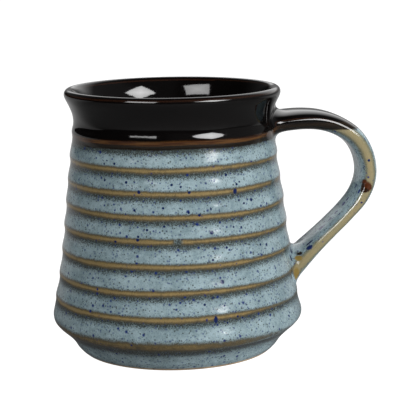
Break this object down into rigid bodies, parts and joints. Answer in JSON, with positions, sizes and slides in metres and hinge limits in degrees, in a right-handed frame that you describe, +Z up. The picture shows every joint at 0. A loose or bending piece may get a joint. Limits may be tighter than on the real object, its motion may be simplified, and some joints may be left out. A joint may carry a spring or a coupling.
{
  "type": "ceramic mug",
  "caption": "Stoneware mug with a ridged wall, a flared collar and rolled lip, a low foot ring and a strap handle, dipped in black and mottled blue glaze.",
  "frame": {"origin": "centre of the base of the bounding box, on the surface the mug stands on; the cup's axis is 16.2 mm behind it, along -X", "axes": "+Z up through the mouth, +X from the cup to the handle, +Y across the handle's strap"},
  "size_m": [0.1356, 0.1032, 0.1084],
  "materials": {
    "stoneware_clay": "bare fired buff stoneware, matt and slightly gritty",
    "clay_slip": "fired slip, matt",
    "black_glaze": "glossy black glaze that breaks to brown at its edge",
    "blue_glaze": "glossy mottled grey-blue glaze with cobalt spots, breaking to tan on the ridges",
    "handle_glaze": "the same glaze, run thin to tan on the handle's edges and blue on its inner face"
  },
  "bodies": {
    "root": {"stoneware_body": "stoneware_clay", "stoneware_handle": "stoneware_clay", "upper_handle_slip": "clay_slip", "lower_handle_slip": "clay_slip", "black_liner_glaze": "black_glaze", "blue_wall_glaze": "blue_glaze", "black_handle_glaze": "black_glaze", "blue_handle_glaze": "handle_glaze"}
  },
  "joints": []
}
